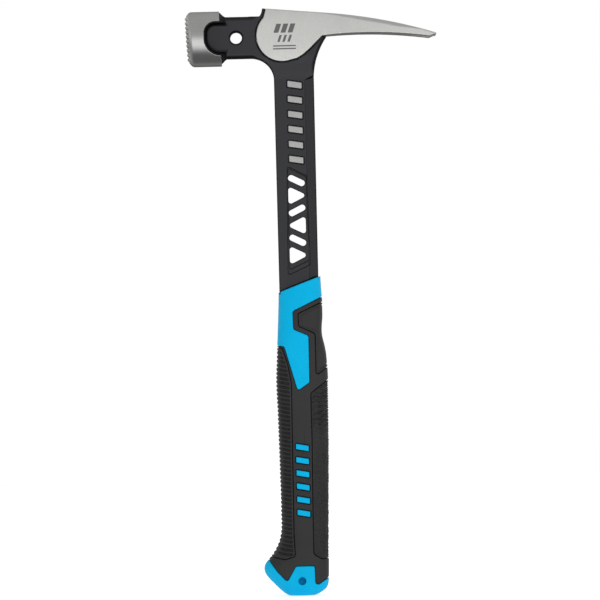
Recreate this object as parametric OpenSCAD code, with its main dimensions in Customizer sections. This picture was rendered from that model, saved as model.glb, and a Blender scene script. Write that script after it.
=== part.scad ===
// Forged framing hammer with a straight rip claw, a milled face and a moulded two-colour grip.
// Millimetres. Z runs up the handle, -X is the striking side, +X is the claw side, Y is the
// thickness. The origin is the centre of the flat under the butt, on the handle's axis.

/* [Overall] */
// butt flat to the top of the head
overall_length = 407; // [330:1:490]
// striking face to claw tip
head_length = 174; // [145:0.5:210]
// handle axis to the striking face
poll_reach = 74; // [62:0.5:89]

/* [Poll] */
// diameter of the striking poll
poll_diameter = 38.3; // [31:0.1:46]
// length of the bright part of the poll
poll_length = 23.6; // [20:0.1:28]
// lean of the striking face, top edge forward, degrees
face_rake = 2.6; // [0:0.1:5]
// chamfer round the striking face, across the radius
face_chamfer = 4.3; // [3:0.1:7]
// distance between the teeth of the milled face
tooth_pitch = 3.15; // [2.6:0.05:4]
// depth of the milled grooves
tooth_depth = 1.1; // [0.7:0.05:1.4]

/* [Neck] */
// height of the neck between poll and cheek
neck_height = 29.4; // [24:0.1:33]
// thickness of the neck and of the web behind it
neck_thickness = 17.5; // [15:0.1:21]
// diameter of the hole through the neck
neck_hole = 8.2; // [6:0.1:10]
// chamfer at each mouth of the hole
hole_chamfer = 1; // [0.4:0.1:1.6]
// radius under the neck, where it turns into the shank
throat_radius = 15.5; // [12:0.1:19]
// width of the nail groove along the top of the poll
nail_groove = 4.2; // [3:0.1:5.5]
// diameter of the magnet that holds the nail
magnet_diameter = 6; // [4:0.1:8]
// depth of the magnet
magnet_depth = 5; // [3:0.1:8]

/* [Cheek and claw] */
// thickness over the two bright cheeks
cheek_thickness = 21.5; // [18:0.1:26]
// radius of the round part of the cheek
cheek_radius = 17.9; // [15:0.1:19]
// width of the claw where it is widest
claw_width = 31; // [26:0.1:36]
// width of the nail slot at the claw's tip
slot_mouth = 9.4; // [8:0.1:12]
// length of the nail slot
slot_length = 40; // [32:0.5:48]

/* [Shank] */
// width of the shank, front to back
shank_width = 27.6; // [23:0.1:33]
// thickness of the shank
shank_thickness = 12; // [10:0.1:15]
// width of the long bevel on the claw side
bevel_width = 6.2; // [4:0.1:8]
// depth of the long bevel
bevel_depth = 2.4; // [1:0.1:3.5]
// depth of the sunk panel round the windows
panel_depth = 1.2; // [0.5:0.1:2]
// width of the window row
window_width = 11.6; // [9:0.1:13]
// width of the slanted slots
window_slot = 4.4; // [3.4:0.1:5.2]
// metal between one window and the next
window_strut = 3.8; // [3:0.1:4.6]
// corner radius of the windows
window_round = 1.7; // [0.8:0.1:2]
// distance from one window to the next along the shank
window_pitch = 10.35; // [9:0.05:13]
// height of the bright bars over the shank's face
mark_rise = 0.4; // [0.2:0.1:0.8]
// butt flat to the end of the tang inside the grip
tang_start = 32; // [29:0.5:40]
// width of the tang inside the grip
tang_width = 18; // [15:0.1:20]
// thickness of the tang inside the grip
tang_thickness = 8; // [6.5:0.1:9.5]

/* [Grip] */
// butt flat to the highest edge of the collar, at the back
grip_length = 220.3; // [180:0.1:265]
// how far the front of the collar's slanted edge is below its back
collar_drop = 10.3; // [6:0.1:14]
// width of the grip at the palm, front to back
grip_width = 36.1; // [30:0.1:43]
// thickness of the grip at the palm
grip_thickness = 28; // [24:0.1:33]
// thickness of the black layer over the blue core
skin = 2.8; // [2:0.1:3.6]
// distance between the ribs of the finger pad
rib_pitch = 2.88; // [2.4:0.02:3.5]
// depth of the grooves between the ribs
rib_depth = 0.8; // [0.4:0.1:1.2]
// height of the blue bars over the black skin
bar_rise = 0.3; // [0.1:0.1:0.6]
// diameter of the blind hole in each side of the butt
butt_hole = 5.3; // [4:0.1:7]
// depth of the blind holes
butt_hole_depth = 5; // [3:0.1:8]

/* [Hidden] */
poll_r = poll_diameter / 2;
rise = poll_r + 1.2;                      // poll axis to the top of the head
hz = overall_length - rise;               // height of the poll's axis
claw_reach = head_length - poll_reach;
kz = grip_length / 220.3;                 // lengthwise stretch of the grip's shape
kx = grip_width / 36.1;
ky = grip_thickness / 28;
poll_back = -poll_reach + poll_length;    // where the bright poll ends
neck_top = neck_height / 2 + 0.6;
neck_bottom = neck_top - neck_height;
half_shank = shank_width / 2;
window_slope = 0.497;
shoulder = -24.2;                         // where the neck's top meets the step of the cheek
neck_length = shoulder - poll_back;
hole_x = poll_back + 0.42 * neck_length;
magnet_x = shoulder - magnet_diameter / 2 - 1.2;
tooth_rows = floor((poll_r - face_chamfer) / tooth_pitch);
shank_seat = 2;                           // how far the full shank goes into the collar
collar_back = grip_length;                // the collar's slanted top edge
collar_front = grip_length - collar_drop;
throat_end = hz + neck_bottom - throat_radius;
// the windows fill the lower half of the free shank, in pairs of a slot and a triangle
window_pairs = max(1, floor((throat_end - collar_back) / 4 / window_pitch));
window_low = collar_back + 15.2;
window_high = window_low + (2 * window_pairs - 1) * window_pitch;
panel_high = window_high + 10;
mark_pitch = (throat_end - panel_high + 2.5) / 6;
blue = [0.04, 0.60, 0.82];
black_skin = [0.13, 0.13, 0.14];
black_steel = [0.10, 0.10, 0.11];
bright_steel = [0.74, 0.74, 0.72];

// ---- outline helpers ----
function unit(v) = v / norm(v);
// the arc that rounds corner b of the outline a, b, c
function corner(a, b, c, r, n) = let (
    u = unit(a - b), v = unit(c - b), half = acos(u * v) / 2,
    m = b + unit(u + v) * r / sin(half),
    p = b + u * r / tan(half) - m, q = b + v * r / tan(half) - m,
    a0 = atan2(p[1], p[0]), turn = ((atan2(q[1], q[0]) - a0 + 540) % 360) - 180)
    [for (i = [0:n]) m + r * [cos(a0 + turn * i / n), sin(a0 + turn * i / n)]];
function rounded(p, r, n = 5) = let (k = len(p))
    [for (i = [0:k - 1]) let (ri = is_list(r) ? r[i] : r)
        each (ri == 0 ? [p[i]] : corner(p[(i + k - 1) % k], p[i], p[(i + 1) % k], ri, n))];
function arc(m, r, a0, a1, n = 16) =
    [for (i = [0:n]) let (a = a0 + (a1 - a0) * i / n) m + r * [cos(a), sin(a)]];
// a shallow curve from p to q that stands s off the chord, to the left of the way it runs
function bow(p, q, s, n = 10) = let (d = q - p, side = unit([-d[1], d[0]]))
    [for (i = [0:n]) let (t = i / n) p + t * d + 4 * s * t * (1 - t) * side];
function at_head(p) = [for (v = p) [v[0], v[1] + hz]];
function on_grip(p) = [for (v = p) [v[0] * kx, v[1] * kz]];

// an XZ outline given thickness t, centred on Y = 0
module slab(p, t) translate([0, t / 2, 0]) rotate([90, 0, 0]) linear_extrude(t) polygon(p);
// the same outline between y0 and y1
module layer(p, y0, y1) translate([0, y1, 0]) rotate([90, 0, 0]) linear_extrude(y1 - y0) polygon(p);

// ---- head ----
// side outline of the bright cheek and claw
cheek_mid = [-7.5, 1];
claw_root = 24;
claw_tip = [claw_reach, 0];
claw_side = at_head(concat(
    [[-18.3, rise - 0.2]],
    bow([claw_root, 0.83 * rise], claw_tip + [-0.9, 0.9], 2.2, 12),
    bow(claw_tip + [-0.6, -0.9], claw_tip + [-5, -2.6], -0.3, 4),
    bow(claw_tip + [-5.6, -2.7], [claw_root - 0.5, 0.1], -2, 12),
    [for (p = [[20.2, 0], [11.6, -8.4], [7, -12.3], [2.7, -14.9]])
        cheek_mid + (p - cheek_mid) * (cheek_radius + 10) / 27.9],
    arc(cheek_mid, cheek_radius, -72, -225, 26)));
// the claw seen from above
claw_plan = concat(
    [[-30, cheek_thickness / 2], [8, cheek_thickness / 2]],
    bow([claw_root, cheek_thickness / 2 + 1.2], [claw_reach - 24, claw_width / 2], 0.5, 6),
    bow([claw_reach - 12, claw_width / 2 - 0.2], [claw_reach + 1, claw_width / 2 - 1.6], 0.3, 4));

module claw_blank() intersection() {
    slab(claw_side, claw_width + 2);
    translate([0, 0, hz - 40]) linear_extrude(80)
        polygon(concat(claw_plan, [for (i = [len(claw_plan) - 1:-1:0])
            [claw_plan[i][0], -claw_plan[i][1]]]));
}

module claw() color(bright_steel) difference() {
    claw_blank();
    // nail slot, wider on top where the head of the nail sits
    translate([0, 0, hz - 40]) linear_extrude(80) polygon([
        [claw_reach + 2, slot_mouth / 2 + 0.2], [claw_reach - slot_length, 0.7],
        [claw_reach - slot_length - 1, 0], [claw_reach - slot_length, -0.7],
        [claw_reach + 2, -slot_mouth / 2 - 0.2]]);
}

// outline of the neck's tongue, as it is sunk into the poll
tongue_nose = -poll_reach + 12.5;
tongue_top = neck_top - 3.6;
tongue_bottom = neck_bottom + 2.1;
tongue = at_head(rounded([[tongue_nose, tongue_top], [tongue_nose, tongue_bottom],
    [-20, tongue_bottom], [-20, tongue_top]], [8, 11.5, 0, 0], 8));

module poll_turned() translate([0, 0, hz]) rotate([0, -90, 0]) rotate_extrude($fn = 96)
    polygon([[0, -poll_back], [poll_r, -poll_back], [poll_r, poll_reach - face_chamfer * 0.72],
        [poll_r - face_chamfer * 1.2, poll_reach + face_chamfer * 0.24], [0, poll_reach + face_chamfer * 0.24]]);

module poll() color(bright_steel) difference() {
    poll_turned();
    slab(tongue, 60);
    // raked striking face and its milled grooves
    translate([-poll_reach, 0, hz]) rotate([0, -face_rake, 0]) {
        translate([-20, -40, -40]) cube([20, 80, 80]);
        for (k = [-tooth_rows:tooth_rows]) for (turn = [0, 90]) rotate([turn, 0, 0])
            translate([0, 40, k * tooth_pitch]) rotate([90, 0, 0]) linear_extrude(80)
                polygon([[-0.1, -tooth_pitch * 0.4], [tooth_depth, -tooth_pitch * 0.1],
                    [tooth_depth, tooth_pitch * 0.1], [-0.1, tooth_pitch * 0.4]]);
    }
    // nail groove along the top
    translate([-poll_reach - 2, 0, hz + poll_r]) rotate([0, 90, 0])
        cylinder(h = poll_length + 4, d = nail_groove, $fn = 32);
}

// side outline of the black forging from the neck down to the end of the tang
web_side = concat(
    at_head(concat([[poll_back, neck_top], [shoulder, neck_top]],
        bow([-22.8, neck_top + 0.7], [-21, rise - 0.4], -0.4, 4),
        [[-20.6, rise], [claw_root, rise * 0.8]],
        bow([23, -0.4], [half_shank + 0.05, -27.5], -2, 10))),
    [[half_shank, collar_back - shank_seat], [-half_shank, collar_front - shank_seat]],
    at_head(concat([[-half_shank, neck_bottom - throat_radius]],
        arc([-half_shank - throat_radius, neck_bottom - throat_radius], throat_radius, 0, 90, 14),
        [[poll_back, neck_bottom]])));
panel = [for (p = [[-6.4, panel_high], [7.4, panel_high - 7.2], [8.5, window_low - 6.9],
    [-7.4, window_low - 14.3]]) [p[0] * window_width / 11.6, p[1]]];

// one row of windows: slanted slots and triangles by turns
module windows() {
    tri = window_pitch - (window_slot / 2 + window_strut) * sqrt(1 + window_slope * window_slope);
    w = window_width / 2;
    for (i = [0:window_pairs - 1]) {
        s = i % 2 == 1 ? -1 : 1;
        translate([0, 0, window_high - 2 * i * window_pitch]) scale([s, 1, 1]) {
            rotate([0, atan(window_slope), 0]) slab(rounded([[-w * 1.06, window_slot / 2],
                [-w * 1.06, -window_slot / 2], [w * 1.06, -window_slot / 2],
                [w * 1.06, window_slot / 2]], window_slot * 0.46, 5), 40);
            translate([0, 0, -window_pitch]) slab(rounded([[-w, tri + w * window_slope],
                [-w, -tri - w * window_slope], [tri / window_slope, 0]], window_round, 5), 40);
        }
    }
}

module shank() color(black_steel) difference() {
    union() {
        slab(web_side, shank_thickness);
        // thicker web above the ridge that runs from the neck to the horn of the claw
        intersection() {
            slab(web_side, neck_thickness);
            slab(at_head([[-100, neck_bottom + 2.7], [-24.5, neck_bottom + 2.7], [-9.5, neck_bottom - 8.6],
                [30, neck_bottom - 9.9], [30, 40], [-100, 40]]), 40);
        }
        slab(tongue, neck_thickness);
        // cone between the poll and the neck
        difference() {
            translate([0, 0, hz]) rotate([0, -90, 0]) rotate_extrude($fn = 96)
                polygon([[0, -poll_back - 6], [neck_height / 2 - 0.6, -poll_back - 6],
                    [poll_r - 0.4, -poll_back - 1.4], [poll_r, -poll_back], [0, -poll_back]]);
            slab(at_head([[-90, tongue_top], [-20, tongue_top], [-20, tongue_bottom],
                [-90, tongue_bottom]]), 60);
        }
        // tang inside the grip
        translate([-tang_width / 2, -tang_thickness / 2, tang_start])
            cube([tang_width, tang_thickness, collar_back - tang_start]);
    }
    slab(claw_side, 60);
    // long bevel on the claw side, one on each face
    for (s = [-1, 1]) scale([1, s, 1]) hull() for (z = [collar_front - 10, hz - 28])
        translate([0, 0, z]) linear_extrude(0.1) polygon([
            [half_shank - bevel_width, shank_thickness / 2],
            [half_shank + 1, shank_thickness / 2 - bevel_depth], [half_shank + 1, shank_thickness / 2 + 1],
            [half_shank - bevel_width, shank_thickness / 2 + 1]]);
    for (s = [-1, 1]) layer(panel, s > 0 ? shank_thickness / 2 - panel_depth : -30,
        s > 0 ? 30 : -shank_thickness / 2 + panel_depth);
    windows();
    // hole through the neck, chamfered at both mouths
    translate([hole_x, 0, hz + 0.2]) rotate([90, 0, 0]) {
        cylinder(h = 60, d = neck_hole, center = true, $fn = 64);
        for (s = [0, 180]) rotate([s, 0, 0]) translate([0, 0, neck_thickness / 2 - hole_chamfer])
            cylinder(h = hole_chamfer + 1, d1 = neck_hole, d2 = neck_hole + 2 * hole_chamfer + 2, $fn = 64);
    }
    // seat of the magnet
    translate([magnet_x, 0, hz + neck_top - magnet_depth])
        cylinder(h = magnet_depth + 5, d = magnet_diameter, $fn = 48);
}

module magnet() color([0.55, 0.55, 0.57])
    translate([magnet_x, 0, hz + neck_top - magnet_depth])
        cylinder(h = magnet_depth - 0.2, d = magnet_diameter, $fn = 48);

// six slanted bars
module shank_marks(y0, y1) for (i = [0:5]) translate([0.3, 0, panel_high + 4.4 + i * mark_pitch])
    layer([for (p = [[-4.9, 0.28], [-4.9, -0.13], [4.9, -0.28], [4.9, 0.13]])
        [p[0], p[1] * mark_pitch]], y0, y1);
module shank_marks_front() color(bright_steel)
    shank_marks(-shank_thickness / 2 - mark_rise, -shank_thickness / 2);
module shank_marks_back() color(bright_steel)
    shank_marks(shank_thickness / 2, shank_thickness / 2 + mark_rise);

// ---- grip ----
// height, front edge, back edge, thickness
stations = [for (s = [
    [222, -14.0, 14.9, 22.6], [208, -14.2, 15.5, 24.0], [196, -14.7, 16.1, 25.2],
    [187, -15.2, 15.5, 25.8], [181, -15.5, 15.2, 26.0], [173, -16.1, 16.9, 26.6],
    [165, -16.6, 18.1, 27.1], [148, -17.5, 18.6, 27.8], [128, -17.0, 18.6, 28.0],
    [88, -16.4, 17.9, 27.6], [48, -16.2, 16.8, 27.0], [40, -17.3, 16.6, 27.0],
    [33, -20.2, 16.5, 27.2], [27, -24.2, 16.3, 27.4], [22, -28.2, 16.2, 27.6],
    [19, -29.0, 16.1, 27.6], [15.5, -28.2, 16.0, 27.4], [10.4, -24.0, 15.9, 26.6],
    [4.7, -18.4, 14.6, 24.0], [1.5, -14.9, 11.5, 20.5], [-0.5, -12.4, 8.0, 17.6]])
    // the collar follows the shank, and the rest follows the grip's own sizes
    let (w = max(0, min(1, (s[0] - 170) / 38)), d = half_shank - 13.8)
    [s[0] * kz, w * (s[1] - d) + (1 - w) * s[1] * kx, w * (s[2] + d) + (1 - w) * s[2] * kx,
     w * (s[3] + shank_thickness - 12) + (1 - w) * s[3] * ky]];

// oval section of station s, drawn in by d
module section(s, d) translate([0, 0, s[0]]) linear_extrude(0.02) polygon([
    for (i = [0:23]) let (a = i * 15, c = cos(a), e = sin(a))
        [(s[1] + s[2]) / 2 + ((s[2] - s[1]) / 2 - d) * sign(c) * pow(abs(c), 0.78),
         (s[3] / 2 - d) * sign(e) * pow(abs(e), 0.78)]]);
module loft(i0, i1, d = 0) for (i = [i0:i1 - 1]) hull() {
    section(stations[i], d);
    section(stations[i + 1], d);
}
module whole_grip() difference() {
    loft(0, 20);
    // slanted top of the collar
    slab([[-3 * half_shank, collar_front - collar_drop], [3 * half_shank, collar_back + collar_drop],
        [3 * half_shank, 2 * grip_length], [-3 * half_shank, 2 * grip_length]], 80);
    translate([-60, -40, -20]) cube([120, 80, 20]);
}
module core() difference() {
    loft(1, 13, skin);
    translate([-60, -40, 0]) cube([120, 80, 29 * kz]);
}
module tang_hole() {
    translate([-tang_width / 2, -tang_thickness / 2, tang_start])
        cube([tang_width, tang_thickness, 300]);
    slab([[-half_shank, collar_front - shank_seat], [half_shank, collar_back - shank_seat],
        [half_shank, 2 * grip_length], [-half_shank, 2 * grip_length]], shank_thickness);
}

// the areas of the grip's side view
blue_top = rounded(on_grip([[-40, 240], [40, 240], [40, 217.9], [-4.8, 196.8], [-4.6, 184.2], [5.8, 179.6],
    [5.7, 147.4], [-2.6, 141.6], [-11.2, 172.5], [-40, 176]]), [0, 0, 0, 2, 2, 2, 1, 1.5, 2, 0]);
thumb_area = rounded(on_grip([[40, 213.9], [-1.2, 195], [-1, 186.3], [10.4, 181], [10.3, 151.6],
    [40, 174.5]]), [0, 2, 2, 3, 1.5, 0]);
finger_area = rounded(on_grip([[-40, 173], [-12.6, 171.5], [-9.2, 160.5], [-6.9, 147], [-7.2, 104],
    [-7.6, 41], [-7, 27.4], [-14, 25.2], [-40, 31]]), [0, 2, 4, 4, 10, 10, 2, 2, 0]);
palm_area = rounded(on_grip([[40, 165], [6.4, 139.8], [6.5, 107], [6, 67], [5.8, 28.6], [11.4, 25],
    [40, 27]]), [0, 2, 10, 10, 3, 3, 0]);
butt_area = rounded(on_grip([[-40, -8], [40, -8], [40, 27.5], [8.6, 7.4], [6.5, 8.2], [6.2, 20.4],
    [-6.8, 20.4], [-12.9, 9.6], [-20, 17.3], [-26, 26], [-40, 45]]),
    [0, 0, 0, 1, 1.2, 1.5, 1.5, 1.5, 4, 4, 0]);

module grip_bars(y0, y1) for (i = [0:5]) translate([-0.4 * kx, 0, (57 + 9.1 * i) * kz])
    layer(on_grip([[-4.4, 2.7], [-4.4, -1.1], [4.4, -2.7], [4.4, 1.1]]), y0, y1);

module grip_core() color(blue) difference() {
    union() {
        intersection() { whole_grip(); slab(blue_top, 80); }
        core();
    }
    tang_hole();
}
module butt_cap() color(blue) difference() {
    intersection() { loft(13, 20); slab(butt_area, 80); }
    translate([-60, -40, -20]) cube([120, 80, 20]);
    for (s = [-1, 1]) translate([-2.6 * kx, s * (13.2 * ky - butt_hole_depth), 10 * kz])
        rotate([-s * 90, 0, 0]) cylinder(h = 20, d = butt_hole, $fn = 48);
}
module overmould() color(black_skin) difference() {
    whole_grip();
    for (a = [blue_top, thumb_area, finger_area, palm_area, butt_area]) slab(a, 80);
    core();
    grip_bars(-40, 40);
}
module finger_pad() color(black_skin * 0.8) difference() {
    intersection() { whole_grip(); slab(finger_area, 80); }
    core();
    // slanted grooves between the ribs
    difference() {
        for (z = [31 * kz:rib_pitch:166 * kz]) translate([-17 * kx, 0, z]) rotate([0, 25, 0])
            translate([-25, -40, -0.45]) cube([33 * kx, 80, 0.9]);
        loft(4, 17, rib_depth);
    }
}
module palm_pad() color(black_skin * 0.8) difference() {
    intersection() { whole_grip(); slab(palm_area, 80); }
    core();
}
module thumb_pad() color(black_skin * 0.8) difference() {
    intersection() { whole_grip(); slab(thumb_area, 80); }
    core();
}
module grip_marks(y0, y1) difference() {
    intersection() {
        translate([0, sign(y0 + y1) * bar_rise, 0]) whole_grip();
        grip_bars(y0, y1);
    }
    core();
}
module grip_marks_front() color(blue) grip_marks(-40, 0);
module grip_marks_back() color(blue) grip_marks(0, 40);

poll();
shank();
claw();
magnet();
shank_marks_front();
shank_marks_back();
grip_core();
butt_cap();
overmould();
finger_pad();
palm_pad();
thumb_pad();
grip_marks_front();
grip_marks_back();
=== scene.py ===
import math

import bpy
import numpy as np
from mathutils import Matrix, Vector


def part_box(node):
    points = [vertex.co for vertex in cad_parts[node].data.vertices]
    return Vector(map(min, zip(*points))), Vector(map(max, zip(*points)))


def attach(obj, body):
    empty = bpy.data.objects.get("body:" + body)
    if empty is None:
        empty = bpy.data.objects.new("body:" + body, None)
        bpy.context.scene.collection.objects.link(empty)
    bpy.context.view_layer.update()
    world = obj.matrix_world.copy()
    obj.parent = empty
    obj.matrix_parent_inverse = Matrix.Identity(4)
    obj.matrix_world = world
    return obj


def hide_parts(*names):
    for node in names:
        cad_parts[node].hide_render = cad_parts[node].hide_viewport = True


# A forged framing hammer, upright, in the CAD part's frame. Shapes are worked out in
# millimetres as fields that are negative inside a piece, and each piece is the mesh of its
# field's zero surface. X runs from the striking face (-) to the claw (+), Z up the handle.

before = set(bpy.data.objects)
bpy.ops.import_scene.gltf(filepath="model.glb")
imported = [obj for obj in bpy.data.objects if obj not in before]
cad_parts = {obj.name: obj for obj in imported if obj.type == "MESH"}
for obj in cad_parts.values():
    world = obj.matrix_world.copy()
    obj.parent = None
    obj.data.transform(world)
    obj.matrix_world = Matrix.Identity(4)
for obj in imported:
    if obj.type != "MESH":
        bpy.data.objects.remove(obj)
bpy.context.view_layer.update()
COARSE = 1.0


def box_mm(node):
    """A CAD node's two corners, in millimetres."""
    return [[1000 * c for c in corner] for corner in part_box(node)]


POLL_LO, POLL_HI = box_mm("poll")
CLAW_HI = box_mm("claw")[1]
POLL_R = POLL_HI[1]
HZ = POLL_LO[2] + POLL_R       # height of the poll's axis
RISE = CLAW_HI[2] - HZ         # poll axis to the top of the head
POLL_BACK = POLL_HI[0]         # where the bright part of the poll ends
FACE = 74                      # poll's reach: the striking face is at -FACE on the axis
RAKE = math.radians(2.6)       # lean of the striking face
TOOTH = 3.15                   # spacing of the milled grooves
GROOVE = 2.1                   # radius of the nail groove along the top of the poll
NECK_HALF = 8.75               # half thickness of the neck
SHANK_HALF = 6.0               # half thickness of the shank
SHANK_SIDE = 13.8              # half width of the shank
CONE_END = -43                 # where the cone behind the poll has sunk into the neck
HOLE_X, HOLE_UP, HOLE_R = -39.4, 0.2, 4.1          # hole through the neck, from the poll's axis
MAGNET_X, MAGNET_UP, MAGNET_R = -28.4, 12.7, 3     # the magnet, from the poll's axis
CHEEK_HALF = 10.75             # half thickness of the cheek
TANG = (9, 4)                  # half width and half thickness of the tang
SKIN_DEPTH = 2.8               # thickness of the black skin over the core
RIB = 2.88                     # spacing of the ribs on the finger pad
BUTT_HOLE_X, BUTT_HOLE_UP, BUTT_HOLE_R = -2.6, 10, 2.65     # blind hole in each side of the butt


# ---------------------------------------------------------------- outlines and fields
def unit(v):
    """v made one long."""
    return np.asarray(v, float) / np.linalg.norm(v)


def arc(mid, r, a0, a1, n=16):
    """Points on a circle from angle a0 to a1, in degrees."""
    a = np.radians(np.linspace(a0, a1, n + 1))
    return [(mid[0] + r * math.cos(t), mid[1] + r * math.sin(t)) for t in a]


def bow(p, q, s, n=10):
    """A shallow curve from p to q that stands s off the chord, to the left of the way it runs."""
    p, q = np.array(p, float), np.array(q, float)
    d = q - p
    side = unit([-d[1], d[0]])
    return [tuple(p + t * d + 4 * s * t * (1 - t) * side) for t in np.linspace(0, 1, n + 1)]


def rounded(pts, r, n=6):
    """The outline with each corner rounded to its own radius."""
    out, k = [], len(pts)
    radii = r if isinstance(r, (list, tuple)) else [r] * k
    for i in range(k):
        a, b, c = (np.array(pts[(i + j) % k], float) for j in (-1, 0, 1))
        if not radii[i]:
            out.append(tuple(b))
            continue
        u, v = unit(a - b), unit(c - b)
        half = math.acos(max(-1, min(1, float(u @ v)))) / 2
        m = b + unit(u + v) * radii[i] / math.sin(half)
        p, q = b + u * radii[i] / math.tan(half) - m, b + v * radii[i] / math.tan(half) - m
        a0 = math.atan2(p[1], p[0])
        turn = (math.atan2(q[1], q[0]) - a0 + 3 * math.pi) % (2 * math.pi) - math.pi
        out += [tuple(m + radii[i] * np.array([math.cos(a0 + turn * t), math.sin(a0 + turn * t)]))
                for t in np.linspace(0, 1, n + 1)]
    return out


def at_head(pts):
    """Points whose heights are measured from the poll's axis, moved up to it."""
    return [(x, z + HZ) for x, z in pts]


def outline(pts):
    """Signed distance, in the XZ plane, to a closed outline."""
    p = np.array(pts, float)
    q = np.roll(p, -1, axis=0)

    def field(x, z):
        best, inside = None, None
        for (ax, az), (bx, bz) in zip(p, q):
            ex, ez = bx - ax, bz - az
            wx, wz = x - ax, z - az
            t = np.clip((wx * ex + wz * ez) / (ex * ex + ez * ez + 1e-12), 0, 1)
            d = (wx - t * ex) ** 2 + (wz - t * ez) ** 2
            best = d if best is None else np.minimum(best, d)
            if az != bz:
                hit = ((az > z) != (bz > z)) & (x < (bx - ax) * (z - az) / (bz - az) + ax)
                inside = hit if inside is None else inside ^ hit
        return np.where(inside, -1.0, 1.0) * np.sqrt(best)
    return field


def both(a, b, r=0.4):
    """Where a and b overlap, with the edge between them rounded."""
    return np.minimum(-r, np.maximum(a, b)) + np.hypot(np.maximum(a + r, 0), np.maximum(b + r, 0))


def bevelled(a, b, c):
    """Where a and b overlap, with the edge between them cut off at 45 degrees."""
    return np.maximum(np.maximum(a, b), (a + b + c) * 0.7071)


def either(a, b, r=0.4):
    """a and b joined, with the corner between them filled round."""
    return -both(-a, -b, r)


def ramp(t):
    """0 below 0, 1 above 1, smooth in between."""
    t = np.clip(t, 0, 1)
    return t * t * (3 - 2 * t)


# ---------------------------------------------------------------- meshing
def surface(field, lo, hi, step):
    """Vertices and quads of the zero surface of field between lo and hi."""
    axes = [np.arange(a, b + step, step) for a, b in zip(lo, hi)]
    x, y, z = axes[0][:, None, None], axes[1][None, :, None], axes[2][None, None, :]
    shape = tuple(len(a) for a in axes)
    f = np.broadcast_to(field(x, y, z), shape).astype(np.float32)
    s = f < 0
    corners = [(i, j, k) for i in (0, 1) for j in (0, 1) for k in (0, 1)]
    some, every = np.zeros([n - 1 for n in shape], bool), np.ones([n - 1 for n in shape], bool)
    for c in corners:
        part = s[tuple(slice(o, n - 1 + o) for o, n in zip(c, shape))]
        some |= part
        every &= part
    live = some & ~every
    index = np.full(live.shape, -1, np.int32)
    cells = np.argwhere(live)
    index[live] = np.arange(len(cells), dtype=np.int32)
    value = {c: f[cells[:, 0] + c[0], cells[:, 1] + c[1], cells[:, 2] + c[2]] for c in corners}
    total, count = np.zeros((len(cells), 3)), np.zeros(len(cells))
    for c in corners:
        for k in range(3):
            if c[k]:
                continue
            d = tuple(1 if j == k else c[j] for j in range(3))
            a, b = value[c], value[d]
            cross = (a < 0) != (b < 0)
            t = np.where(cross, a / np.where(cross, a - b, 1), 0)
            at = np.tile(np.array(c, float), (len(cells), 1))
            at[:, k] += t
            total += at * cross[:, None]
            count += cross
    origin = np.array([a[0] for a in axes])
    v = origin + (cells + total / count[:, None]) * step
    quads = []
    for k in range(3):
        m, n = [a for a in range(3) if a != k]
        if k == 1:
            m, n = 2, 0
        inner = [slice(1, d - 1) for d in shape]
        inner[k] = slice(0, shape[k] - 1)
        nxt = list(inner)
        nxt[k] = slice(1, shape[k])
        a, b = s[tuple(inner)], s[tuple(nxt)]
        for first, flip in ((a & ~b, False), (~a & b, True)):
            e = np.argwhere(first)
            if not len(e):
                continue
            for j in (m, n):
                e[:, j] += 1
            ring = []
            for dm, dn in ((1, 1), (0, 1), (0, 0), (1, 0)):
                g = e.copy()
                g[:, m] -= dm
                g[:, n] -= dn
                ring.append(index[g[:, 0], g[:, 1], g[:, 2]])
            if flip:
                ring.reverse()
            quads.append(np.stack(ring, 1))
    return v, np.concatenate(quads)


def slope(field, v, e=0.02):
    """The field's gradient at points."""
    g = np.empty_like(v)
    for k in range(3):
        a, b = v.copy(), v.copy()
        a[:, k] += e
        b[:, k] -= e
        g[:, k] = (field(*a.T) - field(*b.T)) / (2 * e)
    return g


def make(name, field, lo, hi, step, node, material, keep=1.0):
    """One piece: the zero surface of its field, drawn onto the surface and thinned to keep."""
    step *= COARSE
    v, quads = surface(field, [a - 2 * step for a in lo], [b + 2 * step for b in hi], step)
    for _ in range(2):
        g = slope(field, v)
        size = np.maximum((g ** 2).sum(1), 0.05)
        move = -(field(*v.T) / size)[:, None] * g
        far = np.linalg.norm(move, axis=1, keepdims=True)
        v = v + move * np.minimum(1, 0.45 * step / np.maximum(far, 1e-9))
    mesh = bpy.data.meshes.new(name)
    mesh.vertices.add(len(v))
    mesh.vertices.foreach_set("co", (v / 1000).astype(np.float32).ravel())
    mesh.loops.add(quads.size)
    mesh.loops.foreach_set("vertex_index", quads.astype(np.int32).ravel())
    mesh.polygons.add(len(quads))
    mesh.polygons.foreach_set("loop_start", np.arange(0, quads.size, 4, dtype=np.int32))
    mesh.update(calc_edges=True)
    mesh.validate()
    piece = bpy.data.objects.new(name, mesh)
    bpy.context.scene.collection.objects.link(piece)
    if keep < 1:
        thin = piece.modifiers.new("thin", "DECIMATE")
        thin.ratio = keep
        bpy.context.view_layer.update()
        thinned = bpy.data.meshes.new_from_object(
            piece.evaluated_get(bpy.context.evaluated_depsgraph_get()))
        piece.modifiers.clear()
        piece.data = thinned
        bpy.data.meshes.remove(mesh)
        thinned.name = name
        mesh = thinned
    co = np.empty(len(mesh.vertices) * 3, np.float32)
    mesh.vertices.foreach_get("co", co)
    n = slope(field, co.reshape(-1, 3).astype(float) * 1000, 0.12)
    n /= np.maximum(np.linalg.norm(n, axis=1, keepdims=True), 1e-9)
    mesh.polygons.foreach_set("use_smooth", np.ones(len(mesh.polygons), bool))
    mesh.normals_split_custom_set_from_vertices([tuple(a) for a in n])
    mesh.materials.append(material)
    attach(piece, "root")
    if node:
        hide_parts(node)
    return piece


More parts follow.
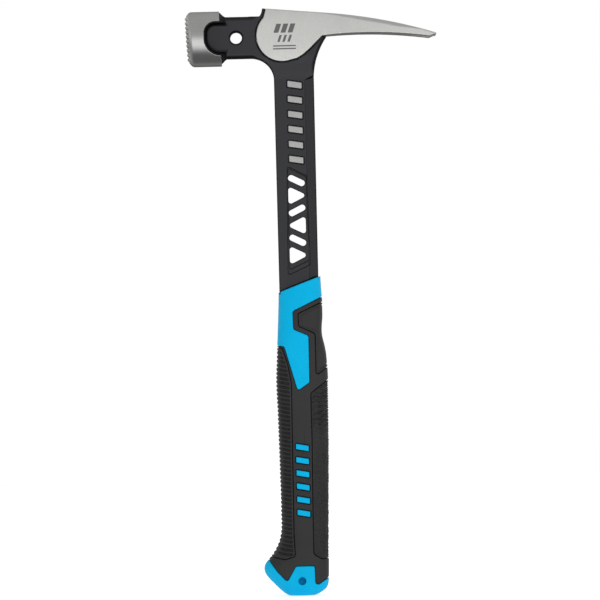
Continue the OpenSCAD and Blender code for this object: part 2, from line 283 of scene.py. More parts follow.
# ---------------------------------------------------------------- materials
class Nodes:
    """A material's node tree, built up from its Principled shader."""

    def __init__(self, name, **sockets):
        self.material = bpy.data.materials.new(name)
        self.material.use_nodes = True
        self.tree = self.material.node_tree
        self.shader = self.tree.nodes["Principled BSDF"]
        self.place = self.add("ShaderNodeTexCoord").outputs["Object"]
        for key, value in sockets.items():
            self.shader.inputs[key.replace("_", " ")].default_value = value

    def add(self, kind, **values):
        node = self.tree.nodes.new(kind)
        for key, value in values.items():
            setattr(node, key, value)
        return node

    def link(self, a, b):
        self.tree.links.new(a, b)

    def scaled(self, size):
        node = self.add("ShaderNodeMapping")
        node.inputs["Scale"].default_value = size
        self.link(self.place, node.inputs["Vector"])
        return node.outputs["Vector"]

    def noise(self, size, detail=3.0, rough=0.55):
        node = self.add("ShaderNodeTexNoise")
        node.inputs["Scale"].default_value = 1.0
        node.inputs["Detail"].default_value = detail
        node.inputs["Roughness"].default_value = rough
        self.link(self.scaled(size), node.inputs["Vector"])
        return node.outputs["Fac"]

    def mapped(self, value, low, high, a=0.3, b=0.7):
        node = self.add("ShaderNodeMapRange")
        for key, number in (("From Min", a), ("From Max", b), ("To Min", low), ("To Max", high)):
            node.inputs[key].default_value = number
        self.link(value, node.inputs["Value"])
        return node.outputs["Result"]

    def ramped(self, value, colours):
        node = self.add("ShaderNodeValToRGB")
        stops = node.color_ramp.elements
        while len(stops) < len(colours):
            stops.new(0.5)
        for stop, (at, colour) in zip(stops, colours):
            stop.position = at
            stop.color = (*colour, 1)
        self.link(value, node.inputs["Fac"])
        return node.outputs["Color"]

    def maths(self, operation, a, b=None, c=None):
        node = self.add("ShaderNodeMath", operation=operation)
        for socket, value in zip(node.inputs, (a, b, c)):
            if value is None:
                continue
            if isinstance(value, (int, float)):
                socket.default_value = value
            else:
                self.link(value, socket)
        return node.outputs[0]

    def bumped(self, height, strength, distance, after=None):
        node = self.add("ShaderNodeBump")
        node.inputs["Strength"].default_value = strength
        node.inputs["Distance"].default_value = distance
        self.link(height, node.inputs["Height"])
        if after is not None:
            self.link(after, node.inputs["Normal"])
        return node.outputs["Normal"]

    def facing(self):
        """1 where the surface faces straight along Y, 0 where it is edge on."""
        split = self.add("ShaderNodeSeparateXYZ")
        self.link(self.add("ShaderNodeNewGeometry").outputs["Normal"], split.inputs[0])
        return self.maths("ABSOLUTE", split.outputs["Y"])

    def beside_poll(self):
        """Where a point lies, in mm: along X, and up from the poll's axis."""
        split = self.add("ShaderNodeSeparateXYZ")
        self.link(self.place, split.inputs[0])
        x = self.maths("MULTIPLY", split.outputs["X"], 1000)
        return x, self.maths("SUBTRACT", self.maths("MULTIPLY", split.outputs["Z"], 1000), HZ)

    def set(self, key, value):
        self.link(value, self.shader.inputs[key])


# Generic etched marks on both cheeks, in mm from the poll's axis. A row of slanted bars has its
# first bar's middle, its height, half the bars' length, their width, their spacing and how many
# there are. A line has its two ends, its height and half its width.
BIG_BARS = (-10.6, 6.0, 3.1, 3.4, 4.9, 3)
SMALL_BARS = (-9.2, -1.1, 2.4, 1.7, 3.5, 3)
THIN_LINES = ((-13.9, 1.9, -6.2, 0.45), (-13.9, 1.9, -8.2, 0.45))


def tooth_shade(m):
    """Where to darken the level milled grooves of the striking face; the upright ones stay bright."""
    x, z = m.beside_poll()
    lean = math.tan(RAKE)
    depth = m.maths("ADD", m.maths("ADD", x, FACE), m.maths("MULTIPLY", z, lean))
    up = m.maths("SUBTRACT", z, m.maths("MULTIPLY", depth, lean))
    wave = m.maths("COSINE", m.maths("MULTIPLY", up, 2 * math.pi / TOOTH))
    return m.maths("MULTIPLY", m.mapped(wave, 0, 1, 0.1, 0.8), m.mapped(depth, 1, 0, 1.6, 2.4))


def etched_marks(m):
    """1 inside the etched marks, 0 outside, and on the two side faces only."""
    x, z = m.beside_poll()

    def within(value, half, blur=0.07):
        return m.mapped(m.maths("ABSOLUTE", value), 1, 0, half - blur, half + blur)

    marks = []
    for first, mid, half_high, wide, pitch, count in (BIG_BARS, SMALL_BARS):
        up = m.maths("SUBTRACT", z, mid)
        lean = m.maths("SUBTRACT", x, m.maths("MULTIPLY", up, 0.35))
        for i in range(count):
            across = within(m.maths("SUBTRACT", lean, first + pitch * i), wide / 2)
            marks.append(m.maths("MULTIPLY", across, within(up, half_high)))
    for left, right, mid, half_high in THIN_LINES:
        across = within(m.maths("SUBTRACT", x, (left + right) / 2), (right - left) / 2)
        marks.append(m.maths("MULTIPLY", across, within(m.maths("SUBTRACT", z, mid), half_high)))
    total = marks[0]
    for mark in marks[1:]:
        total = m.maths("MAXIMUM", total, mark)
    return m.maths("MULTIPLY", total, m.mapped(m.facing(), 0, 1, 0.85, 0.95))


def bright_steel(name, brush, tone, smooth=0.30, rough=0.47, marks=None, strength=0.88):
    """Ground steel: fine brushing along one axis, a few deeper scratches, slight tone changes.
    marks, if given, says where the steel is darkened, and strength by how much."""
    m = Nodes(name, Metallic=1.0)
    fine = m.noise(brush, 4, 0.65)
    broad = m.noise((70, 70, 50), 3)
    scratch = m.noise(tuple(a * 0.35 for a in brush), 6, 0.75)
    dark = tuple(a * 0.92 for a in tone)
    light = tuple(min(1, a * 1.06) for a in tone)
    mixed = m.maths("ADD", m.maths("MULTIPLY", fine, 0.55), m.maths("MULTIPLY", broad, 0.45))
    colour = m.ramped(mixed, [(0.36, dark), (0.52, tone), (0.66, light)])
    if marks:
        mix = m.add("ShaderNodeMix", data_type="RGBA")
        m.link(m.maths("MULTIPLY", marks(m), strength), mix.inputs["Factor"])
        m.link(colour, mix.inputs["A"])
        mix.inputs["B"].default_value = (0.10, 0.10, 0.10, 1)
        colour = mix.outputs["Result"]
    m.set("Base Color", colour)
    worn = m.maths("ADD", m.maths("MULTIPLY", scratch, 0.6), m.maths("MULTIPLY", broad, 0.4))
    m.set("Roughness", m.mapped(worn, smooth, rough))
    m.set("Normal", m.bumped(fine, 0.16, 0.00012))
    return m.material


def black_coat():
    """Satin black coating over forged steel: faint orange peel, small changes of gloss, and painted
    shade at the edges: darker and less reflective where the surface turns away from the two side faces."""
    m = Nodes("black_coat", Metallic=0.0, Specular_IOR_Level=0.45)
    peel = m.noise((1500, 1500, 1500), 2)
    cloud = m.noise((45, 45, 30), 4)
    turned = m.facing()
    # Painted shade: the colour darkens towards the edges, where the surface turns away from the side
    # faces, on top of a random cloud of tone.
    shade = m.maths("ADD", m.maths("MULTIPLY", cloud, 0.35), m.mapped(turned, -0.6, 0.32, 0.5, 0.99))
    m.set("Base Color", m.ramped(shade, [(0.05, (0.0025, 0.0025, 0.0035)),
                                         (0.42, (0.009, 0.0095, 0.0125)),
                                         (0.58, (0.014, 0.0148, 0.019))]))
    # Painted shade as well: less reflection towards the edges.
    m.set("Specular IOR Level", m.mapped(turned, 0.08, 0.45, 0.5, 0.99))
    m.set("Roughness", m.mapped(cloud, 0.36, 0.48))
    m.set("Normal", m.bumped(peel, 0.10, 0.0001))
    return m.material


def blue_moulding():
    """Semi-gloss blue plastic with a fine moulded grain."""
    m = Nodes("blue_moulding", Metallic=0.0, Specular_IOR_Level=0.07)
    cloud = m.noise((60, 60, 40), 3)
    grain = m.noise((2600, 2600, 2600), 2)
    m.set("Base Color", m.ramped(cloud, [(0.3, (0.0005, 0.375, 0.66)), (0.7, (0.001, 0.41, 0.70))]))
    m.set("Roughness", m.mapped(grain, 0.36, 0.46))
    m.set("Normal", m.bumped(grain, 0.10, 0.00008))
    return m.material


def rubber(name, tone, rough, bump):
    """Matt black rubber with a fine grain."""
    m = Nodes(name, Metallic=0.0, Specular_IOR_Level=0.4)
    cloud = m.noise((50, 50, 35), 4)
    grain = m.noise((2200, 2200, 2200), 3)
    m.set("Base Color", m.ramped(cloud, [(0.3, (tone * 0.8,) * 3), (0.7, (tone * 1.25,) * 3)]))
    m.set("Roughness", m.mapped(cloud, *rough))
    m.set("Normal", m.bumped(grain, bump, 0.0001))
    return m


STRIATION = 0.0013             # spacing of the palm pad's fine lines, in metres


def palm_rubber():
    """Fine level striations near the top of the pad, a pebbled grain lower down."""
    m = rubber("palm_rubber", 0.017, (0.5, 0.64), 0.15)
    split = m.add("ShaderNodeSeparateXYZ")
    m.link(m.place, split.inputs[0])
    wave = m.maths("SINE", m.maths("MULTIPLY", split.outputs["Z"], 2 * math.pi / STRIATION))
    upper = m.maths("MULTIPLY", wave, m.mapped(split.outputs["Z"], 0, 1, 0.098, 0.118))
    cell = m.add("ShaderNodeTexVoronoi", feature="SMOOTH_F1")
    cell.inputs["Scale"].default_value = 1
    m.link(m.scaled((900, 900, 700)), cell.inputs["Vector"])
    fade = m.mapped(split.outputs["Z"], 1.6, 0, 0.085, 0.125)
    lower = m.maths("MULTIPLY", cell.outputs["Distance"], fade)
    grain = m.maths("ADD", m.maths("MULTIPLY", upper, 0.5), lower)
    first = m.bumped(grain, 0.55, 0.0003)
    m.set("Normal", m.bumped(m.noise((2200, 2200, 2200), 3), 0.15, 0.0001, first))
    return m.material


STEEL = bright_steel("brushed_steel_cheek", (2200, 2200, 500), (0.66, 0.66, 0.64), marks=etched_marks)
STEEL_MARKS = bright_steel("satin_steel_bars", (1500, 1500, 1500), (0.47, 0.47, 0.46))
STEEL_POLL = bright_steel("turned_steel_poll", (160, 2400, 2400), (0.53, 0.53, 0.52), 0.25, 0.38,
                          tooth_shade, 0.75)
COAT = black_coat()
BLUE = blue_moulding()
SKIN = rubber("black_skin", 0.016, (0.46, 0.58), 0.18).material
PAD = rubber("black_pad", 0.017, (0.40, 0.50), 0.25).material
PALM = palm_rubber()


# ---------------------------------------------------------------- the steel head and shank
claw_side = outline(at_head(
    [(-18.3, RISE - 0.2)]
    + bow((24, 0.83 * RISE - 0.75), (98.8, 0.45), 2.1, 16) + [(99.45, 0.0)]
    + bow((99.1, -0.9), (95, -2.2), -0.3, 4)
    + bow((94.4, -2.3), (23.5, 0.3), -2, 16)
    + [(20.2, 0), (11.6, -8.4), (7, -12.3), (2.7, -14.9)]
    + arc((-7.5, 1), 17.9, -72, -225, 40)))
TONGUE_NOSE, TONGUE_TOP, TONGUE_BOTTOM = -61.5, 11.7, -12.0
tongue = outline(at_head(rounded(
    [(TONGUE_NOSE, TONGUE_TOP), (TONGUE_NOSE, TONGUE_BOTTOM), (-20, TONGUE_BOTTOM), (-20, TONGUE_TOP)],
    [8, 11.5, 0, 0], 12)))
web_side = outline(
    at_head([(-51.4, 14.8), (-23.0, 14.7)] + bow((-22.4, 15.4), (-21, RISE - 0.4), -0.3, 5)
            + [(-20.6, RISE), (-18.5, RISE - 0.2), (-16.5, RISE - 3), (20, 12.5), (24, 11)]
            + bow((23, -0.4), (13.85, -27.5), -2, 14))
    + [(13.6, 218.3), (-13.6, 208)]
    + at_head([(-13.85, -29.6)] + arc((-29.35, -29.6), 15.5, 0, 90, 20) + [(-51.4, -14.1)]))
panel = outline(rounded([(-6.4, 297.6), (7.4, 290.4), (8.5, 228.6), (-7.4, 221.3)], 1.5))
inner_panel = outline(rounded([(-5.9, 296.4), (6.9, 289.7), (7.7, 231.6), (-6.3, 225.2)], 1.2))


def window_outlines():
    """Slanted slots and triangles by turns, from the top down."""
    pitch, slot, strut, w, lean, top = 10.35, 4.4, 3.8, 5.8, 0.497, 287.25
    tri = pitch - (slot / 2 + strut) * math.hypot(1, lean)
    for i in range(3):
        s = -1 if i == 1 else 1
        z = top - 2 * i * pitch
        a = math.atan(lean)
        c, e = math.cos(a), math.sin(a)
        box = rounded([(-w * 1.06, slot / 2), (-w * 1.06, -slot / 2), (w * 1.06, -slot / 2),
                       (w * 1.06, slot / 2)], slot * 0.46)
        yield outline([(s * (p * c + q * e), z + q * c - p * e) for p, q in box])
        corner = rounded([(-w, tri + w * lean), (-w, -tri - w * lean), (tri / lean, 0)], 1.7)
        yield outline([(s * p, z - pitch + q) for p, q in corner])


windows = list(window_outlines())


def bar_row(first, pitch, left, right, up, down):
    """Six slanted bars, one over another, and the XZ field of them all."""
    rows = [outline(rounded([(left, z + up), (left, z - down), (right, z - up), (right, z + down)], 0.45))
            for z in first + pitch * np.arange(6)]

    def field(x, z):
        d = rows[0](x, z)
        for row in rows[1:]:
            d = np.minimum(d, row(x, z))
        return d
    return field


shank_bar_area = bar_row(301.65, 10.38, -4.6, 5.2, 2.9, 1.35)
COLLAR = math.atan2(10.3, 2 * SHANK_SIDE)      # slant of the collar's top edge


def collar_cut(x, z):
    """How far above the slanted top edge of the collar."""
    return (z - 215.15) * math.cos(COLLAR) - x * math.sin(COLLAR)


def half_thickness(x, z):
    """Half the thickness of the black forging: neck, shank, bevel, window panel, seat and moats."""
    t = SHANK_HALF + (NECK_HALF - SHANK_HALF) * ramp((z - HZ + 30) / 18)
    bevel = 0.35 * ramp((x - 7.3) / 0.35) + np.maximum(0, x - 7.8) * 0.42
    t = t - bevel * ramp((357.5 + 0.4 * (x - 8) - z) / 1.2)
    t = t - 0.8 * ramp(-panel(x, z) / 0.3) - 0.5 * ramp(-inner_panel(x, z) / 0.3)
    t = t - 1.4 * ramp((0.85 - collar_cut(x, z)) / 0.2)
    return t - 0.6 * ramp((0.8 - shank_bar_area(x, z)) / 0.25)


def wall(x, z):
    """The floor of the scoop in the poll's side, with its fillet and steep wall."""
    d = -tongue(x, z)
    r, inset = 3.2, 1.4
    u = np.clip(r + inset - d, 0, r)
    return NECK_HALF + (r - np.sqrt(np.maximum(r * r - u * u, 0))) + np.clip(inset - d, 0, inset) * 8


def poll_back(z):
    """Where the bright part of the poll ends: it leans with the face."""
    return POLL_BACK + 0.2 - 0.03 * (z - HZ)


def radius(y, z):
    """Distance from the poll's axis."""
    return np.hypot(y, z - HZ)


def hole(x, y, z):
    """The hole through the neck, with a chamfer at each mouth."""
    r = np.hypot(x - HOLE_X, z - HZ - HOLE_UP)
    return r - HOLE_R - np.clip(np.abs(y) - 7.75, 0, 3)


def forging(x, y, z):
    """The black part of the forging: cone behind the poll, neck, web and windowed shank."""
    ay = np.abs(y)
    side = web_side(x, z)
    soft = 1.0 + ramp((z - HZ + 30) / 10) * (2.2 * ramp((-24 - x) / 5) + 2.0 * ramp((x - 4) / 6))
    slab = both(ay - half_thickness(x, z), side, soft)
    cone = (radius(y, z) - np.interp(x, [-51.2, -50.9, -46.9, CONE_END], [19.1, 18.9, 14.8, 8.0])) * 0.6
    cone = np.maximum(cone, x - CONE_END)
    body = either(slab, cone, 1.2)
    body = np.maximum(body, poll_back(z) - x)
    floor = wall(x, z)
    nose = np.maximum(np.maximum(radius(y, z) - 19.0, tongue(x, z) + 0.05), x + 48)
    body = np.minimum(body, nose)
    body = np.maximum(body, -np.maximum(np.maximum(tongue(x, z), (floor - ay) * 0.35), x + 38))
    cheek = claw_side(x, z)
    body = np.maximum(body, -np.minimum(cheek, np.maximum(cheek - 0.8, 6.6 - ay)))
    gaps = windows[0](x, z)
    for w in windows[1:]:
        gaps = np.minimum(gaps, w(x, z))
    body = both(body, -gaps, 0.55)
    body = both(body, -hole(x, y, z), 0.25)
    seat = np.maximum(np.hypot(x - MAGNET_X, y) - MAGNET_R - 0.05, HZ + 10.3 - z)
    groove = np.hypot(y, z - HZ - 17.3) - GROOVE
    groove = np.maximum(groove, x + 41)
    return np.maximum(np.maximum(body, -seat), -groove)


def tang(x, y, z):
    """The bar of steel inside the grip."""
    return both(both(np.abs(x) - TANG[0], np.abs(y) - TANG[1], 0.8), np.abs(z - 120) - 88, 0.8)


def milled(across):
    """1 in the middle of each milled groove, 0 on the flats between them."""
    return np.maximum(0, 1 - np.abs((across / TOOTH + 0.5) % 1 - 0.5) * 2 / 0.78)


def striking_poll(x, y, z):
    """The bright poll: raked milled face, chamfer, a scoop in each side, nail groove on top."""
    c, s = math.cos(RAKE), math.sin(RAKE)
    depth = c * (x + FACE) + s * (z - HZ)        # how far inside the raked face
    up = c * (z - HZ) - s * (x + FACE)
    r = radius(y, z)
    cut = np.maximum(milled(y), milled(up))
    reach = np.hypot(y, up)
    face = -depth + 1.5 * cut * ramp((17.2 - reach) / 0.4)
    body = both(r - POLL_R, x - poll_back(z), 0.25)
    body = both(body, (r - POLL_R + 4.3 - depth * 1.3) * 0.61, 1.2)
    body = both(body, face, 0.3)
    scoop = np.maximum(tongue(x, z) - 0.02, 8.6 - np.abs(y))
    body = both(body, -scoop, 0.45)
    body = np.maximum(body, -np.maximum(tongue(x, z), np.abs(y) - NECK_HALF - 0.05))
    groove = np.hypot(y, z - HZ - POLL_R) - GROOVE
    return both(body, -groove, 0.5)


def claw_width(x):
    """Half the width of the cheek and the claw, seen from above."""
    return np.interp(x, [-30, 8, 24, 36, 50, 64, 76, 88, 101],
                     [CHEEK_HALF, CHEEK_HALF, 11.6, 12.8, 14.1, 15.1, 15.5, 15.3, 13.9])


def claw_and_cheek(x, y, z):
    """The bright cheek and the claw, slightly crowned, with a V slot for nails."""
    ay = np.abs(y)
    side = claw_side(x, z)
    under = ramp((x - 22) / 8) * ramp((HZ + 5 - z) / 3)
    upper = ramp((x - 14) / 40) * ramp((z - HZ - 2) / 4)
    body = bevelled(ay - claw_width(x), side, 0.5 + 0.2 * under)
    crown = 0.0013 * (z - HZ - 1) ** 2
    body = both(body, both(ay - claw_width(x) + crown, side, 0.5 + 2.6 * upper), 0.3)
    v = np.interp(x, [58, 60, 61, 101], [-1.0, 0.35, 0.8, 4.9]) - ay
    v = v + 0.35 * np.clip(z - HZ - 0.09 * (100 - x) + 1.5, 0, 2.5) * ramp((x - 58) / 3)
    return both(body, v, 0.5)


def magnet(x, y, z):
    """The nail starter's magnet."""
    return both(np.hypot(x - MAGNET_X, y) - MAGNET_R, np.abs(z - HZ - MAGNET_UP) - 2.35, 0.35)


make("striking_poll", striking_poll, (-75.4, -19.3, HZ - 19.3), (-50, 19.3, HZ + 19.3), 0.36,
     "poll", STEEL_POLL, 0.5)
make("black_forging", forging, (-62, -19.3, 205.5), (25, 19.3, HZ + 20.5), 0.45,
     "shank", COAT, 0.4)
make("steel_tang", tang, (-9.2, -4.2, 31.8), (9.2, 4.2, 208.2), 1.0,
     None, COAT, 0.05)
make("claw_and_cheek", claw_and_cheek, (-25.8, -15.8, HZ - 17.5), (100.2, 15.8, HZ + 20.5), 0.42,
     "claw", STEEL, 0.4)
make("nail_magnet", magnet, (-31.6, -3.2, HZ + 10.2), (-25.2, 3.2, HZ + 15.3), 0.25,
     "magnet", STEEL_POLL, 0.5)


# ---------------------------------------------------------------- bars on the shank
def shank_bar(side):
    """The raised bars on one face of the shank."""
    def field(x, y, z):
        body = both(shank_bar_area(x, z), np.abs(y) - 6.38, 0.2)
        return np.maximum(body, 5.2 - side * y)
    return field


for face, side in (("front", -1), ("back", 1)):
    make(f"shank_bars_{face}", shank_bar(side), (-5, -6.6 if side < 0 else 5, 298),
         (5.6, -5 if side < 0 else 6.6, 357.5), 0.22,
         f"shank_marks_{face}", STEEL_MARKS, 0.3)


# ---------------------------------------------------------------- the grip
# Height, and at that height where the front and the back of the grip are and half its thickness.
FRONT = [(-8, -11), (0, -11.6), (0.7, -13.2), (1.8, -15.3), (4.7, -18.4), (10.4, -24.0), (13.2, -26.6),
         (16, -28.3), (18.8, -28.9), (21.6, -28.4), (24.3, -26.4), (27, -24), (32.5, -20.4),
         (38, -17.9), (43.5, -16.7), (48, -16.3), (62.9, -16.3), (86.8, -16.4), (107.7, -16.7),
         (128.5, -17.0), (140, -17.4), (148, -17.5), (154, -17.3), (165.6, -16.6), (176.7, -15.8),
         (187.8, -15.2), (198.8, -14.6), (211.7, -14.1), (224, -13.9)]
BACK = [(-8, 5), (0, 6.2), (1.2, 9.7), (3.9, 13.8), (6.6, 15.3), (9.4, 15.8), (14.9, 16.0),
        (37.1, 16.6), (65.2, 17.3), (106.8, 18.3), (137, 18.6), (150.9, 18.6), (162, 18.3),
        (167.5, 17.9), (173.1, 16.9), (178.7, 15.5), (183.2, 15.15), (187, 15.4), (192.5, 16.0),
        (199.8, 16.0), (206.4, 15.7), (212, 15.3), (224, 14.9)]
DEEP = [(-8, 8), (0, 8.8), (1.5, 10.2), (4.7, 12.0), (10.4, 13.3), (15.5, 13.7), (27, 13.7),
        (40, 13.5), (48, 13.5), (88, 13.8), (128, 14.0), (148, 13.9), (173, 13.3), (187, 12.9),
        (196, 12.6), (208, 12.0), (224, 11.2)]
ZS = np.arange(-8, 224.01, 0.25)


def smoothed(table, sigma=5):
    """The table read at every height in ZS, with its corners rounded off."""
    values = np.interp(ZS, *zip(*table))
    k = np.exp(-0.5 * (np.arange(-3 * sigma, 3 * sigma + 1) / sigma) ** 2)
    padded = np.concatenate([np.full(3 * sigma, values[0]), values, np.full(3 * sigma, values[-1])])
    return np.convolve(padded, k / k.sum(), "valid")


FRONT_S, BACK_S, DEEP_S = smoothed(FRONT), smoothed(BACK), smoothed(DEEP)


def grip(x, y, z):
    """The grip's outer skin, as an oval that changes up the handle."""
    front, back, deep = (np.interp(z, ZS, t) for t in (FRONT_S, BACK_S, DEEP_S))
    a, mid = (back - front) / 2, (back + front) / 2
    u, v = np.abs(x - mid) / a, np.abs(y) / deep
    n = 2.5
    q = (u ** n + v ** n + 1e-9) ** (1 / n)
    body = (q - 1) * np.minimum(a, deep) * 0.9
    return both(body, -z, 1.2)


blue_top = outline(rounded([(-40, 240), (40, 240), (40, 217.9), (-4.8, 196.8), (-4.6, 184.2), (5.8, 179.6),
                            (5.7, 147.4), (-2.6, 141.6), (-11.2, 172.5), (-40, 176)],
                           [0, 0, 0, 2, 2, 2, 1, 1.5, 2, 0]))
thumb_area = outline(rounded([(40, 213.9), (-1.2, 195), (-1, 186.3), (10.4, 181), (10.3, 151.6),
                              (40, 174.5)],
                             [0, 2, 2, 3, 1.5, 0]))
finger_area = outline(rounded([(-40, 173), (-12.6, 171.5), (-9.2, 160.5), (-6.9, 147), (-7.2, 104),
                               (-7.6, 41), (-7, 27.4), (-14, 25.2), (-40, 31)],
                              [0, 2, 4, 4, 10, 10, 2, 2, 0]))
palm_area = outline(rounded([(40, 165), (6.4, 139.8), (6.5, 107), (6, 67), (5.8, 28.6), (11.4, 25),
                             (40, 27)],
                            [0, 2, 10, 10, 3, 3, 0]))
butt_area = outline(rounded([(-40, -8), (40, -8), (40, 27.5), (8.6, 7.4), (6.5, 8.2), (6.2, 20.4),
                             (-6.8, 20.4), (-12.9, 9.6), (-20, 17.3), (-26, 26), (-40, 45)],
                            [0, 0, 0, 1, 1.2, 1.5, 1.5, 1.5, 4, 4, 0]))


def shell(g):
    """Outside the core that the black skin is moulded over."""
    return -(g + SKIN_DEPTH)


def blue_core(x, y, z):
    """The collar, the blue panel below it and the core under the skin, with room for the steel."""
    g = grip(x, y, z)
    top = both(g, collar_cut(x, z), 0.5)
    top = both(top, edge(blue_top(x, z), g, 0.12), 0.45)
    core = np.maximum(np.maximum(g + SKIN_DEPTH + 0.05, 29 - z), collar_cut(x, z) + 8)
    body = np.minimum(top, core)
    shank = np.maximum(np.abs(x) - SHANK_SIDE + 0.15, np.abs(y) - SHANK_HALF - 0.05)
    shank = np.maximum(shank, -collar_cut(x, z) - 2)
    bar = np.maximum(np.maximum(np.abs(x) - TANG[0] - 0.05, np.abs(y) - TANG[1] - 0.05), 31.9 - z)
    room = np.minimum(bar, shank)
    return both(body, -room, 0.2)


def edge(area, g, gap, depth=0.9):
    """An area's border: a gap open at the skin, closed further in so that nothing shows through."""
    return area - 0.03 + (gap + 0.03) * ramp((g + depth) / 0.4)


def skin_piece(area, detail):
    """One piece of the black skin: its area of the side view, with its detail cut into it."""
    def field(x, y, z):
        g = grip(x, y, z)
        body = both(g + detail(x, y, z), edge(area(x, z), g, 0.2), 0.5)
        return np.maximum(body, shell(g))
    return field


bar_area = bar_row(57, 9.1, -4.8, 4.0, 2.7, 1.1)


def main_area(x, z):
    """What is left of the side view once the pads, the blue and the bars are taken out."""
    d = -blue_top(x, z)
    for a in (thumb_area, finger_area, palm_area, butt_area, bar_area):
        d = np.maximum(d, -a(x, z))
    return d


def moat(x, y, z):
    """A shallow channel round each bar."""
    return 0.5 * ramp((0.8 - bar_area(x, z)) / 0.25)


def ribs(x, y, z):
    """Slanted ribs on the finger pad, inside a plain rim."""
    phase = (z + 0.06 * (x + 17) + 0.22 * np.abs(y)) / RIB
    wave = 0.5 + 0.5 * np.cos(2 * math.pi * phase)
    inside = ramp((-finger_area(x, z) - 1.0) / 0.6)
    high = 0.6 + 0.3 * ramp(np.abs(y) / 6)
    return (0.05 + high * wave ** 1.4) * inside * ramp((172 - z) / 4)


def creases(x, y, z):
    """Level, broken creases over the top of the palm pad that turn into pebbles lower down."""
    lines = (np.sin(4.9 * z + 1.2 * np.sin(0.9 * x + 0.3 * y) + 0.7 * np.sin(0.37 * z))
             + 0.7 * np.sin(3.1 * z - 1.5 * np.sin(0.5 * x + 0.23 * z) + 0.4 * y))
    pebbles = (np.sin(3.3 * x + 1.1 * np.sin(1.3 * z)) * np.sin(3.6 * z + 1.4 * np.sin(1.7 * x + 0.8 * y))
               + 0.6 * np.sin(2.3 * (x + z) + 0.9 * y) * np.sin(2.9 * (z - 0.6 * x) + 1.3 * y))
    low = ramp((122 - z) / 25)
    return 0.17 * ((1 - low) * lines + 1.2 * low * pebbles)


def palm_dish(x, y, z):
    """The palm pad's textured field, sunk inside a plain rim."""
    inside = ramp((-palm_area(x, z) - 0.5) / 0.9)
    return inside * (0.3 + creases(x, y, z))


def thumb_dish(x, y, z):
    """A groove round the thumb pad's raised field."""
    d = -thumb_area(x, z)
    return 0.35 * ramp((d - 1.0) / 0.5) - 0.2 * ramp((d - 2.1) / 0.5)


def butt(x, y, z):
    """The blue butt end, with a blind hole in each side."""
    g = grip(x, y, z)
    body = both(g, edge(butt_area(x, z), g, 0.12), 0.5)
    r = np.hypot(x - BUTT_HOLE_X, z - BUTT_HOLE_UP)
    pit = r - BUTT_HOLE_R - np.clip(np.abs(y) - 12.5, 0, 2) * 0.6
    pit = np.maximum(pit, 6.5 - np.abs(y))
    return both(body, -pit, 0.3)


def grip_bar(side):
    """The blue bars on one side of the grip."""
    def field(x, y, z):
        g = grip(x, y, z)
        body = both(g - 0.28, bar_area(x, z) + 0.08, 0.25)
        return np.maximum(np.maximum(body, shell(g)), -side * y)
    return field


make("blue_core", blue_core, (-18, -14.2, 28.5), (19, 14.2, 221), 0.45,
     "grip_core", BLUE, 0.22)
make("black_overmould", skin_piece(main_area, moat), (-29.2, -14.2, 6), (19, 14.2, 208), 0.45,
     "overmould", SKIN, 0.3)
make("finger_ribs", skin_piece(finger_area, ribs), (-27.5, -14.2, 24), (-6, 14.2, 174), 0.42,
     "finger_pad", PAD, 0.5)
make("palm_cushion", skin_piece(palm_area, palm_dish), (5.2, -14.2, 24), (19, 14.2, 151), 0.45,
     "palm_pad", PALM, 0.25)
make("thumb_rest", skin_piece(thumb_area, thumb_dish), (-1.8, -14.2, 150), (19, 14.2, 206), 0.42,
     "thumb_pad", SKIN, 0.4)
make("butt_end", butt, (-29.2, -14.2, -0.2), (16.6, 14.2, 27.5), 0.4,
     "butt_cap", BLUE, 0.4)
for face, side in (("front", -1), ("back", 1)):
    make(f"grip_bars_{face}", grip_bar(side), (-5.2, -14.6 if side < 0 else 9, 53),
         (4.4, -9 if side < 0 else 14.6, 107), 0.3,
         f"grip_marks_{face}", BLUE, 0.3)


# ---------------------------------------------------------------- floor, lights, camera
def stage_floor():
    """A round pale floor, just under the butt."""
    mesh = bpy.data.meshes.new("floor")
    sides, r, drop = 64, 2.4, 0.0004
    turns = [2 * math.pi * i / sides for i in range(sides)]
    ring = [(r * math.cos(t), r * math.sin(t), -drop) for t in turns]
    mesh.from_pydata(ring, [], [list(range(sides))])
    floor = bpy.data.objects.new("floor", mesh)
    bpy.context.scene.collection.objects.link(floor)
    m = Nodes("floor_white", Roughness=0.9, Specular_IOR_Level=0.0)
    m.set("Base Color", m.ramped(m.noise((6, 6, 6)), [(0.3, (0.93,) * 3), (0.7, (0.95,) * 3)]))
    mesh.materials.append(m.material)
    m.shader.inputs["Emission Color"].default_value = (1, 1, 1, 1)
    m.shader.inputs["Emission Strength"].default_value = 0.5
    floor.visible_glossy = False


def area_light(name, at, to, size, power):
    """A soft light that reflections don't show."""
    light = bpy.data.lights.new(name, "AREA")
    light.shape = "RECTANGLE"
    light.size, light.size_y = size
    light.energy = power
    lamp = bpy.data.objects.new(name, light)
    lamp.location = at
    d = np.array(to, float) - np.array(at, float)
    lamp.rotation_euler = Vector(d).to_track_quat("-Z", "Y").to_euler()
    lamp.visible_camera = False
    lamp.visible_glossy = False
    bpy.context.scene.collection.objects.link(lamp)


# The studio's even light, and its soft lobes: where each points, how far it is stretched
# sideways, the dot products where it starts and is full, and how much light it adds.
BASE_LIGHT = 0.36
LOBES = [((0, -0.95, -0.34), 0.55, 0.84, 0.995, 0.90),
         ((0, -0.5, 0.87), 1.0, -0.2, 0.7, 0.16),
         ((0, 0, -1), 1.0, 0.74, 0.90, -0.20),
         ((0.70, -0.71, 0), 1.0, 0.90, 0.98, 0.40),
         ((0, 1, -0.1), 1.0, 0.75, 0.95, -0.24),
         ((0.93, -0.36, 0.05), 1.0, 0.93, 0.985, 0.7),
         ((-0.93, -0.36, 0.1), 1.0, 0.93, 0.985, 0.45),
         ((0.7, 0.7, 0.1), 1.0, 0.80, 0.96, 0.30),
         ((-0.7, 0.7, 0.1), 1.0, 0.80, 0.96, 0.30)]


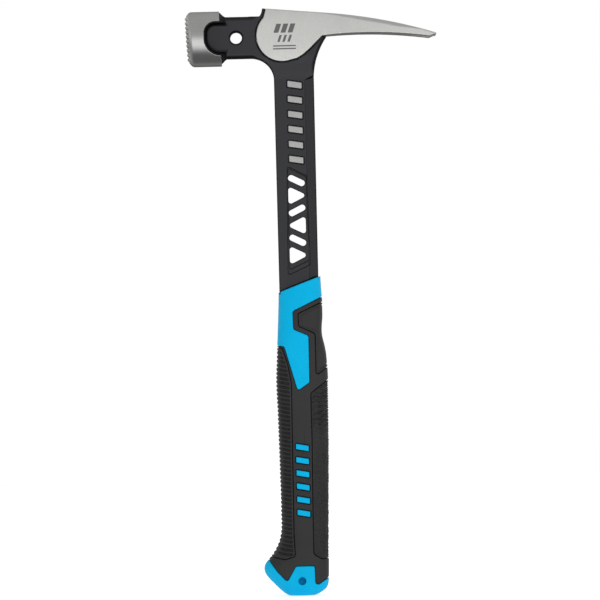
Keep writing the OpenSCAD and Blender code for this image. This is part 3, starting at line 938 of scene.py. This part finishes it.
def set_world():
    """White behind the object for the camera; for light and reflections, a studio made of soft lobes."""
    world = bpy.data.worlds.new("studio")
    bpy.context.scene.world = world
    world.use_nodes = True
    tree = world.node_tree

    def add(kind, *inputs, **settings):
        node = tree.nodes.new(kind)
        for key, value in settings.items():
            setattr(node, key, value)
        for socket, value in zip(node.inputs, inputs):
            if isinstance(value, bpy.types.NodeSocket):
                tree.links.new(value, socket)
            elif value is not None:
                socket.default_value = value
        return node.outputs["Value" if settings.get("operation") == "DOT_PRODUCT" else 0]

    direction = tree.nodes.new("ShaderNodeTexCoord").outputs["Generated"]
    level = BASE_LIGHT
    for to, wide, start, full, light in LOBES:
        at = direction
        if wide != 1:
            at = add("ShaderNodeVectorMath", direction, (wide, 1, 1), operation="MULTIPLY")
            at = add("ShaderNodeVectorMath", at, operation="NORMALIZE")
        near = add("ShaderNodeVectorMath", at, tuple(unit(to)), operation="DOT_PRODUCT")
        shine = add("ShaderNodeMapRange", near, start, full, 0.0, light, interpolation_type="SMOOTHSTEP")
        level = add("ShaderNodeMath", shine, level, operation="ADD")
    back = tree.nodes["Background"]
    tree.links.new(level, back.inputs["Color"])
    back.inputs["Strength"].default_value = 1.0
    seen = tree.nodes.new("ShaderNodeBackground")
    seen.inputs["Color"].default_value = (1, 1, 1, 1)
    path = tree.nodes.new("ShaderNodeLightPath")
    mix = tree.nodes.new("ShaderNodeMixShader")
    tree.links.new(path.outputs["Is Camera Ray"], mix.inputs["Fac"])
    tree.links.new(back.outputs[0], mix.inputs[1])
    tree.links.new(seen.outputs[0], mix.inputs[2])
    tree.links.new(mix.outputs[0], tree.nodes["World Output"].inputs["Surface"])


def set_camera():
    """Level, square to the side of the hammer, from far off, and rolled a little."""
    data = bpy.data.cameras.new("camera")
    cam = bpy.data.objects.new("camera", data)
    bpy.context.scene.collection.objects.link(cam)
    distance, width, sensor = 3.7, 0.41612, 36
    data.sensor_width = sensor
    data.lens = sensor * distance / width
    data.clip_end = 50
    cam.location = (0.0005, -distance, 0.2044)
    cam.rotation_euler = (math.pi / 2, math.radians(1.4), 0)
    bpy.context.scene.camera = cam


stage_floor()
set_world()
area_light("key", (0.5, -1.8, 1.0), (0, 0, 0.22), (1.2, 1.2), 12)
area_light("back_fill", (-0.6, 1.8, 1.1), (0, 0, 0.22), (1.4, 1.2), 12)
set_camera()
bpy.context.scene.view_settings.view_transform = "Standard"
